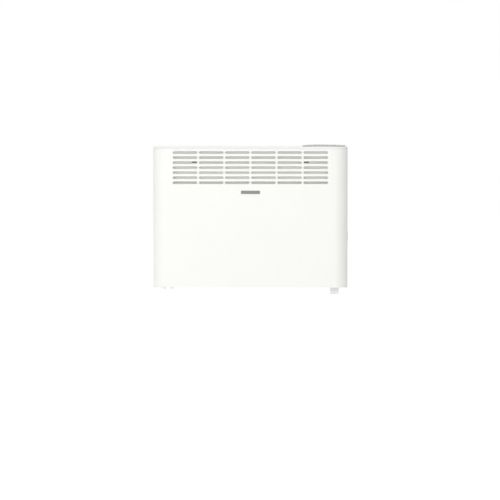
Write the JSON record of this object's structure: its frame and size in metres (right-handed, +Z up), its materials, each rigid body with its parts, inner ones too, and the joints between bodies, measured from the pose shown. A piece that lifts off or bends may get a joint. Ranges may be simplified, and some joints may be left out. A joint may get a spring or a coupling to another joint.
{
  "type": "wall convector heater",
  "caption": "White panel convector heater on a wall bracket with two catches, with a slotted air outlet, a control unit on top and a mains switch on its side.",
  "frame": {"origin": "on the wall, at the centre of the rectangle of four wall-screw holes", "axes": "+X to the right as the user sees it, +Y into the wall, +Z up"},
  "size_m": [0.584, 0.123, 0.4497],
  "materials": {
    "white_paint": "satin powder coat",
    "white_plastic": "fine moulded",
    "zinc_steel": "galvanised",
    "bright_aluminium": "rolled",
    "dark_plastic": "fine moulded",
    "window_plastic": "polished",
    "display": "liquid crystal",
    "circuit_board": "solder mask",
    "components": "moulded",
    "key_plastic": "moulded",
    "ceramic": "fired",
    "element_steel": "heat tinted",
    "brass": "tinned",
    "terminal_plastic": "moulded"
  },
  "bodies": {
    "heater": {"bracket_frame": "zinc_steel", "catch_pins": "zinc_steel", "catch_springs": "zinc_steel", "front_casing": "white_paint", "top_cover": "white_paint", "rear_panel": "white_paint", "bottom_grille": "zinc_steel", "rear_screws": "zinc_steel", "base_screws": "zinc_steel", "left_partition": "zinc_steel", "right_partition": "zinc_steel", "air_deflector": "white_paint", "front_heat_shield": "bright_aluminium", "element_tube": "element_steel", "element_fins": "bright_aluminium", "element_bracket": "zinc_steel", "element_bushes": "ceramic", "limit_thermostat": "components", "room_sensor": "components", "power_board": "circuit_board", "board_standoffs": "white_plastic", "board_parts": "components", "terminal_block": "terminal_plastic", "control_housing": "white_plastic", "display_window": "window_plastic", "lcd_module": "display", "control_board": "circuit_board", "tact_switches": "components", "control_screws": "zinc_steel", "switch_housing": "white_plastic", "switch_tabs": "brass", "cable_hood": "white_plastic", "cord_clamp": "dark_plastic", "clamp_screws": "zinc_steel"},
    "catch_left": {"catch_left": "dark_plastic"},
    "catch_right": {"catch_right": "dark_plastic"},
    "mains_rocker": {"mains_rocker": "white_plastic"},
    "key_menu": {"key_menu": "key_plastic"},
    "key_ok": {"key_ok": "key_plastic"},
    "key_minus": {"key_minus": "key_plastic"},
    "key_plus": {"key_plus": "key_plastic"}
  },
  "joints": [
    {"name": "catch_left_press", "type": "hinge", "parent": "heater", "child": "catch_left", "pos_m": [-0.16725, -0.012, 0.1828], "axis": [1, 0, 0], "range_deg": [0, 12], "stiffness_Nm_per_rad": 0.1, "springref_deg": -17.19},
    {"name": "catch_right_press", "type": "hinge", "parent": "heater", "child": "catch_right", "pos_m": [0.16725, -0.012, 0.1828], "axis": [1, 0, 0], "range_deg": [0, 12], "stiffness_Nm_per_rad": 0.1, "springref_deg": -17.19},
    {"name": "mains_rocker_swing", "type": "hinge", "parent": "heater", "child": "mains_rocker", "pos_m": [0.288, -0.051, -0.047], "axis": [0, -1, 0], "range_deg": [0, 16]},
    {"name": "key_menu_press", "type": "slide", "parent": "heater", "child": "key_menu", "axis": [0, 0.0785, -0.9969], "range_m": [0, 0.0007], "stiffness_N_per_m": 1000, "springref_m": -0.0005},
    {"name": "key_ok_press", "type": "slide", "parent": "heater", "child": "key_ok", "axis": [0, 0.0785, -0.9969], "range_m": [0, 0.0007], "stiffness_N_per_m": 1000, "springref_m": -0.0005},
    {"name": "key_minus_press", "type": "slide", "parent": "heater", "child": "key_minus", "axis": [0, 0.0785, -0.9969], "range_m": [0, 0.0007], "stiffness_N_per_m": 1000, "springref_m": -0.0005},
    {"name": "key_plus_press", "type": "slide", "parent": "heater", "child": "key_plus", "axis": [0, 0.0785, -0.9969], "range_m": [0, 0.0007], "stiffness_N_per_m": 1000, "springref_m": -0.0005}
  ]
}
